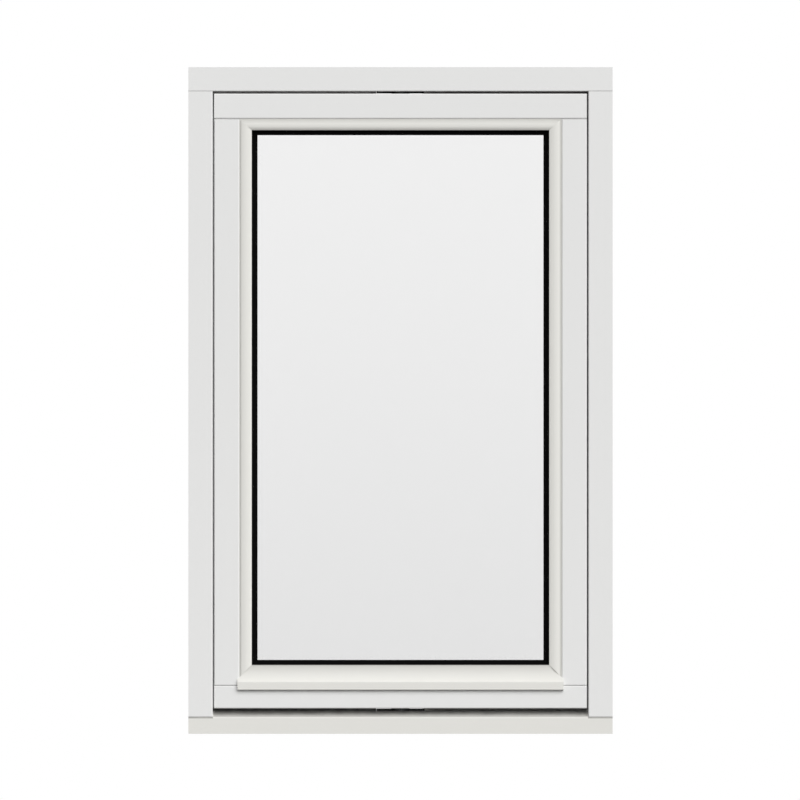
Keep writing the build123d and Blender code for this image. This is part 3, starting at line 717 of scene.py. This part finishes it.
class Finishes:
    """Every finish of the window as a material, made once."""

    def __init__(self, effects: Effects) -> None:
        """Builds the materials."""
        made = (*self.paints(), *self.mouldings(), *self.metals())
        self.materials = {finish.name: finish.material(effects) for finish in made}

    @staticmethod
    def paints() -> list[Finish]:
        """Painted and bare timber, and the glass."""
        white, cream = screen(226, 226, 225), screen(222, 221, 216)
        # Painted shade in the paint's grooves, gaps and corners.
        shade_places = PaintedShadePlaces()
        pane_low, pane_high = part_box("outer_pane")
        return [
            PaintedTimber("paint_upright", white, Grain.UPRIGHT),
            PaintedTimber("paint_level", white, Grain.LEVEL),
            PaintedTimber("paint_head", white, Grain.LEVEL, shade_places.head()),
            PaintedTimber("paint_bottom_rail", white, Grain.LEVEL, shade_places.bottom_rail()),
            PaintedTimber("paint_sill", cream, Grain.LEVEL, shade_places.sill()),
            PaintedTimber("paint_bead_upright", cream, Grain.UPRIGHT, shade_places.side_bead()),
            PaintedTimber("paint_bead_top", cream, Grain.LEVEL, shade_places.top_bead()),
            PaintedTimber("paint_bead_foot", cream, Grain.LEVEL, shade_places.foot_bead()),
            BareTimber("bare_beech", screen(205, 168, 126), screen(164, 120, 82), Grain.UPRIGHT),
            FloatGlass("float_glass", pane_low.z, pane_high.z),
        ]

    @staticmethod
    def mouldings() -> list[Finish]:
        """Rubbers and plastics; each has two tones, its range of roughness and its shine."""
        spacer_low, spacer_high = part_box("spacer_bar")
        middle = (spacer_low.y + spacer_high.y) / 2
        return [
            Moulded("gasket_rubber", screen(2, 2, 2), screen(6, 6, 6), 0.6, 0.75, 0.03),
            Moulded("strip_rubber", screen(14, 14, 14), screen(24, 24, 24), 0.5, 0.65, 0.3),
            Moulded("sealant", screen(20, 20, 21), screen(32, 32, 33), 0.35, 0.5, 0.5),
            Moulded("white_nylon", screen(228, 227, 222), screen(236, 235, 231), 0.35, 0.5, 0.5),
            Moulded("black_nylon", screen(22, 22, 23), screen(34, 34, 35), 0.4, 0.55, 0.5),
            SpacerBar("spacer", screen(26, 26, 27), screen(4, 4, 4), middle),
        ]

    @staticmethod
    def metals() -> list[Finish]:
        """Metals; each has two tones, its range of roughness and the way that its lines run."""
        upright, even, level = (1.0, 1.0, 0.03), (1.0, 1.0, 1.0), (1.0, 0.05, 0.05)
        return [
            Metal("zinc_plate", screen(203, 205, 206), screen(191, 193, 195), 0.28, 0.38, upright),
            Metal("bearing_bronze", screen(190, 140, 78), screen(160, 112, 60), 0.3, 0.45, even),
            Metal("satin_aluminium", screen(188, 188, 187), screen(176, 176, 176), 0.3, 0.38, level),
        ]

    def paint(self, piece: bpy.types.Object, name: str) -> None:
        """Gives every slot of a piece one finish."""
        material = self.materials[name]
        if not piece.material_slots:
            piece.data.materials.append(material)
        for slot in piece.material_slots:
            slot.material = material


# Surfaces


def mesh_object(
    name: str, points: np.ndarray, faces: list[np.ndarray], smooth: bool = True
) -> bpy.types.Object:
    """A mesh object at the origin.

    Args:
        name: the piece's name.
        points: vertex places, one row each.
        faces: vertex numbers of faces, one row each, in an array for each number of corners.
        smooth: whether faces are shaded smooth.

    Returns:
        The object, linked to the scene.
    """
    mesh = bpy.data.meshes.new(name)
    mesh.vertices.add(len(points))
    mesh.vertices.foreach_set("co", np.ascontiguousarray(points, dtype=np.float32).ravel())
    corners = np.concatenate([group.ravel() for group in faces]).astype(np.int32)
    sizes = np.concatenate([np.full(len(group), group.shape[1]) for group in faces])
    mesh.loops.add(len(corners))
    mesh.loops.foreach_set("vertex_index", corners)
    mesh.polygons.add(len(sizes))
    mesh.polygons.foreach_set("loop_start", (np.cumsum(sizes) - sizes).astype(np.int32))
    mesh.polygons.foreach_set("use_smooth", np.full(len(sizes), smooth))
    mesh.update(calc_edges=True)
    mesh.validate()
    piece = bpy.data.objects.new(name, mesh)
    bpy.context.scene.collection.objects.link(piece)
    return piece


def ring_faces(rings: int, around: int) -> list[np.ndarray]:
    """Faces of rings between two poles; the poles are the first and the last point.

    Args:
        rings: how many rings there are.
        around: how many points each ring has.

    Returns:
        Four-sided faces between rings, then the fans of three-sided faces at both poles.
    """
    numbers = 1 + np.arange(rings * around).reshape(rings, around)
    numbers = np.concatenate([numbers, numbers[:, :1]], axis=1)
    quads = np.stack((numbers[:-1, :-1], numbers[1:, :-1], numbers[1:, 1:], numbers[:-1, 1:]), axis=-1)
    first, last = np.zeros(around, dtype=int), np.full(around, rings * around + 1)
    fans = (
        np.stack((first, numbers[0, :-1], numbers[0, 1:]), axis=-1),
        np.stack((last, numbers[-1, 1:], numbers[-1, :-1]), axis=-1),
    )
    return [quads.reshape(-1, 4), np.concatenate(fans)]


def turned(axis: Direction, points: np.ndarray) -> np.ndarray:
    """Points drawn about +Z, turned so that +Z becomes the axis."""
    matrix = np.array(Vector(axis).to_track_quat("Z", "Y").to_matrix())
    return points @ matrix.T


@dataclass(frozen=True)
class ScrewSize:
    """Radii of a countersunk screw's head and shank, and its whole length."""

    head: float
    shank: float
    length: float


@dataclass(frozen=True)
class ScrewRow:
    """Countersunk screws that stand for one CAD node, each with a six-lobed recess.

    Args:
        node: the CAD node, whose box gives the places.
        body: the body that they ride on.
        size: the screws' size.
        facing: the ways that the heads face, in the order of the box's low and high end along the axis.
        heads_out: whether the heads, and not the points, lie at the ends of the box.
        around: points round each ring.
        lobes, lobe: how many lobes the recess has, and how far they stand out, as a share of its radius.
        recess, floor, dish: the recess's radius, its depth and the dish's depth, as shares of the head.
        wall, brim: rings of the recess, as shares of its radius and of the floor's or the dish's depth.
        face: rings of the head, as shares of its radius and of the dish's depth.
        rim: the height of the head's straight rim, as a share of the head.
    """

    node: str
    body: str
    size: ScrewSize
    facing: tuple[Facing, ...]
    heads_out: bool
    around: int = 48
    lobes: int = 6
    lobe: float = 0.17
    recess: float = 0.42
    floor: float = 0.42
    dish: float = 0.05
    wall: tuple[tuple[float, float], ...] = ((0.94, 1.0), (1.0, 0.8))
    brim: tuple[tuple[float, float], ...] = ((1.0, 1.4), (1.06, 1.0))
    face: tuple[tuple[float, float], ...] = ((0.72, 0.6), (0.95, 0.2))
    rim: float = 0.04

    def surface(self) -> tuple[np.ndarray, list[np.ndarray]]:
        """One screw on the Z axis, its head level with Z 0.

        Rings run from the recess's floor, whose edge is r0 (1 + a cos 6t), up its wall, over the dished
        head to the rim, down the cone and along the shank to the point. A pole closes the floor, and
        another the point.

        Returns:
            The points and the faces.
        """
        head, shank, length = self.size.head, self.size.shank, self.size.length
        angle = np.linspace(0.0, 2 * pi, self.around, endpoint=False)
        star = self.recess * head * (1 + self.lobe * np.cos(self.lobes * angle))
        round_ = np.ones_like(angle)
        floor, dish = -self.floor * head, -self.dish * head
        rings = [
            *((share * star, depth * floor) for share, depth in self.wall),
            *((share * star, depth * dish) for share, depth in self.brim),
            *((share * head * round_, depth * dish) for share, depth in self.face),
            (head * round_, -self.rim * head),
            (shank * round_, shank - head),
            (shank * round_, 2 * shank - length),
        ]
        radius = np.stack([ring for ring, _ in rings])
        level = np.array([level for _, level in rings])[:, None] * round_
        grid = np.stack([radius * np.cos(angle), radius * np.sin(angle), level], axis=-1)
        poles = np.array([[0.0, 0.0, floor], [0.0, 0.0, -length]])
        points = np.concatenate([poles[:1], grid.reshape(-1, 3), poles[1:]])
        return points, ring_faces(len(rings), self.around)

    def places(self) -> list[tuple[np.ndarray, Facing]]:
        """Where each head's middle lies, from the corners of the node's box, and the way that it faces."""
        low, high = (np.array(corner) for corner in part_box(self.node))
        axis = int(np.argmax(np.abs(self.facing[0].value)))
        others = [n for n in range(3) if n != axis]
        ends = (low[axis], high[axis]) if len(self.facing) > 1 else (high[axis],)
        found = []
        for end, facing in zip(ends, self.facing):
            sign = facing.value[axis]
            head = end if self.heads_out else end + sign * self.size.length
            grid = [self.spread(low[n], high[n]) for n in others]
            for first in grid[0]:
                for second in grid[1]:
                    place = np.zeros(3)
                    place[axis], place[others[0]], place[others[1]] = head, first, second
                    found.append((place, facing))
        return found

    def spread(self, low: float, high: float) -> list[float]:
        """One or two head centres between the ends of a box's side."""
        first, last = low + self.size.head, high - self.size.head
        return [first] if last - first < self.size.head else [first, last]

    def build(self) -> bpy.types.Object:
        """The screws as one piece that stands for the node."""
        points, faces = self.surface()
        placed = [turned(facing.value, points) + place for place, facing in self.places()]
        starts = np.arange(len(placed)) * len(points)
        numbered = [(group + starts[:, None, None]).reshape(-1, group.shape[1]) for group in faces]
        piece = mesh_object(f"{self.node}_detailed", np.concatenate(placed), numbered)
        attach(piece, self.body)
        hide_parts(self.node)
        return piece


# Sub-assemblies


@dataclass
class Dressing:
    """A sub-assembly: which CAD nodes wear which finish."""

    nodes: dict[str, bpy.types.Object]
    finishes: Finishes

    def dress(self, finish: str, *names: str) -> None:
        """Gives CAD nodes a finish and reports them."""
        for name in names:
            self.finishes.paint(self.nodes[name], finish)
            LOG.info("%s wears %s", name, finish)


@dataclass
class OuterFrame(Dressing):
    """Head, sill and jambs with their strips, keeps and fixings."""

    def build(self) -> None:
        """Dresses the frame's nodes."""
        strips = [f"{part}_strip_{side}" for part in ("jamb", "head", "sill") for side in ("left", "right")]
        self.dress("paint_head", "frame_head")
        self.dress("paint_sill", "frame_sill")
        self.dress("paint_upright", "frame_jamb_left", "frame_jamb_right")
        self.dress("strip_rubber", *strips)
        self.dress("zinc_plate", "fixing_sleeves", "upper_bolt_keep", "lower_bolt_keep")
        self.dress("zinc_plate", "frame_corner_screws", "keep_screws")
        self.dress("white_nylon", "fixing_caps")


@dataclass
class Sash(Dressing):
    """Stiles, rails, beads and the sealed unit."""

    def build(self) -> None:
        """Dresses the sash's nodes."""
        self.dress("paint_upright", "sash_stile_left", "sash_stile_right")
        self.dress("paint_level", "sash_top_rail")
        self.dress("paint_bottom_rail", "sash_bottom_rail")
        self.dress("paint_bead_upright", "glazing_bead_left", "glazing_bead_right")
        self.dress("paint_bead_top", "glazing_bead_top")
        self.dress("paint_bead_foot", "glazing_bead_bottom")
        self.dress("bare_beech", "sash_corner_dowels")
        self.dress("float_glass", "outer_pane", "inner_pane")
        self.dress("gasket_rubber", "outer_glazing_gasket", "inner_glazing_tape")
        self.dress("sealant", "edge_seal")
        self.dress("spacer", "spacer_bar")
        self.dress("black_nylon", "setting_blocks")


@dataclass
class Pivots(Dressing):
    """Plates, bushes, washers and seals of both pivots."""

    def build(self) -> None:
        """Dresses the pivots' nodes."""
        for end in ("upper", "lower"):
            self.dress("zinc_plate", f"{end}_pivot_plate", f"{end}_spigot_plate")
            self.dress("bearing_bronze", f"{end}_pivot_bush")
            self.dress("black_nylon", f"{end}_thrust_washer")
            self.dress("strip_rubber", f"{end}_pivot_seal")
        self.dress("zinc_plate", "pivot_plate_screws", "spigot_plate_screws")


@dataclass
class Lock(Dressing):
    """Gearbox, rods, faceplate and handle."""

    def build(self) -> None:
        """Dresses the lock's nodes."""
        self.dress("zinc_plate", "gearbox_case", "gearbox_lid", "lock_faceplate", "faceplate_screws")
        self.dress("zinc_plate", "upper_rod", "lower_rod", "drive_pinion", "handle_spindle", "rosette_screws")
        self.dress("satin_aluminium", "handle_rosette", "handle_lever")


@dataclass
class Fasteners(Dressing):
    """Screws with recessed heads in place of the plain ones."""

    rosette_screw: ScrewSize = ScrewSize(4.0 * MM, 2.0 * MM, 15.0 * MM)
    plate_screw: ScrewSize = ScrewSize(4.0 * MM, 2.0 * MM, 25.0 * MM)
    corner_screw: ScrewSize = ScrewSize(5.5 * MM, 2.75 * MM, 95.0 * MM)

    def rows(self) -> list[ScrewRow]:
        """Each row of screws, with its body, its size and the way that it faces."""
        outwards, inwards = (Facing.DOWN, Facing.UP), (Facing.UP, Facing.DOWN)
        return [
            ScrewRow("rosette_screws", "sash", self.rosette_screw, (Facing.IN,), heads_out=True),
            ScrewRow("faceplate_screws", "sash", self.plate_screw, (Facing.RIGHT,), heads_out=True),
            ScrewRow("spigot_plate_screws", "sash", self.plate_screw, outwards, heads_out=True),
            ScrewRow("pivot_plate_screws", "frame", self.plate_screw, inwards, heads_out=False),
            ScrewRow("keep_screws", "frame", self.plate_screw, inwards, heads_out=False),
            ScrewRow("frame_corner_screws", "frame", self.corner_screw, outwards, heads_out=True),
        ]

    def build(self) -> None:
        """Builds each row of screws."""
        for row in self.rows():
            piece = row.build()
            self.finishes.paint(piece, "zinc_plate")
            LOG.info("%s stands for %s", piece.name, row.node)


@dataclass
class Studio:
    """Floor, lamps, background and camera."""

    image_width: float = 1.3198
    aim: tuple[float, float] = (-0.0008, 0.5508)
    camera_distance: float = 3.0
    floor_half: float = 20.0
    key_direction: Direction = (0.22, -0.75, 0.45)
    key_strength: float = 3.13
    side_direction: Direction = (1.0, 0.0, 0.0)
    side_strength: float = 1.25
    back_direction: Direction = (-0.45, 0.8, 0.15)
    back_strength: float = 2.95
    lamp_angle: float = 0.95
    surround: float = 0.12
    floor_seen: Colour = grey(0.86)
    floor_bounce: Colour = grey(0.1)

    def build(self) -> None:
        """Builds the whole studio."""
        self.background()
        self.floor()
        self.lamp("key_lamp", self.key_direction, self.key_strength)
        # The photograph's beads are shaded from the right, yet nothing casts a shadow or a glare that way.
        side = self.lamp("side_lamp", self.side_direction, self.side_strength)
        side.visible_glossy = False
        side.data.use_shadow = False
        side.data.cycles.max_bounces = 0
        self.lamp("back_lamp", self.back_direction, self.back_strength)
        self.camera()
        bpy.context.scene.view_settings.view_transform = "Standard"

    @staticmethod
    def seen_rays(shader: Shader) -> bpy.types.NodeSocket:
        """One for rays from the camera, off gloss or through glass, else zero."""
        path = shader.add("ShaderNodeLightPath")
        gloss = shader.math("MAXIMUM", path.outputs["Is Glossy Ray"], path.outputs["Is Transmission Ray"])
        return shader.math("MAXIMUM", path.outputs["Is Camera Ray"], gloss)

    def background(self) -> None:
        """White where it is seen, a soft grey surround for the light it gives."""
        world = bpy.data.worlds.new("surround")
        shader = Shader.blank(world)
        soft = shader.add("ShaderNodeBackground", WHITE, self.surround)
        white = shader.add("ShaderNodeBackground", WHITE, 1.0)
        mixed = shader.add("ShaderNodeMixShader", self.seen_rays(shader), soft.outputs[0], white.outputs[0])
        out = shader.add("ShaderNodeOutputWorld")
        shader.feed(out.inputs["Surface"], mixed.outputs[0])
        bpy.context.scene.world = world

    def floor(self) -> None:
        """A level floor under the sill, pale where it is seen."""
        half = self.floor_half
        corners = np.array([[-half, -half, 0.0], [half, -half, 0.0], [half, half, 0.0], [-half, half, 0.0]])
        piece = mesh_object("floor", corners, [np.array([[0, 1, 2, 3]])], smooth=False)
        made = bpy.data.materials.new("floor")
        shader = Shader.blank(made)
        seen = shader.add("ShaderNodeBsdfDiffuse", self.floor_seen)
        bounce = shader.add("ShaderNodeBsdfDiffuse", self.floor_bounce)
        mixed = shader.add("ShaderNodeMixShader", self.seen_rays(shader), bounce.outputs[0], seen.outputs[0])
        out = shader.add("ShaderNodeOutputMaterial")
        shader.feed(out.inputs["Surface"], mixed.outputs[0])
        piece.data.materials.append(made)

    def lamp(self, name: str, direction: Direction, strength: float) -> bpy.types.Object:
        """A wide distant lamp that shines from a direction.

        Args:
            name: the lamp's name.
            direction: where the light comes from.
            strength: its strength on a face that looks at it.

        Returns:
            The lamp, for settings of its own.
        """
        data = bpy.data.lights.new(name, "SUN")
        data.energy = strength
        data.angle = self.lamp_angle
        lamp = bpy.data.objects.new(name, data)
        lamp.rotation_mode = "QUATERNION"
        lamp.rotation_quaternion = Vector(direction).to_track_quat("Z", "Y")
        lamp.location = Vector(direction) * self.camera_distance
        bpy.context.scene.collection.objects.link(lamp)
        return lamp

    def camera(self) -> None:
        """A straight front view without perspective, framed as the photograph is."""
        data = bpy.data.cameras.new("front_view")
        data.type = "ORTHO"
        data.ortho_scale = self.image_width
        camera = bpy.data.objects.new("front_view", data)
        camera.location = (self.aim[0], -self.camera_distance, self.aim[1])
        camera.rotation_euler = (pi / 2, 0.0, 0.0)
        bpy.context.scene.collection.objects.link(camera)
        bpy.context.scene.camera = camera


def main() -> None:
    """Loads the frame, dresses each sub-assembly and sets up the studio."""
    logging.basicConfig(level=logging.INFO, format="%(name)s: %(message)s")
    for thing in list(bpy.data.objects):
        bpy.data.objects.remove(thing)
    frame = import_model()
    finishes = Finishes(Effects())
    Studio().build()
    for assembly in (OuterFrame, Sash, Pivots, Lock, Fasteners):
        assembly(frame["nodes"], finishes).build()


if __name__ == "__main__":
    main()
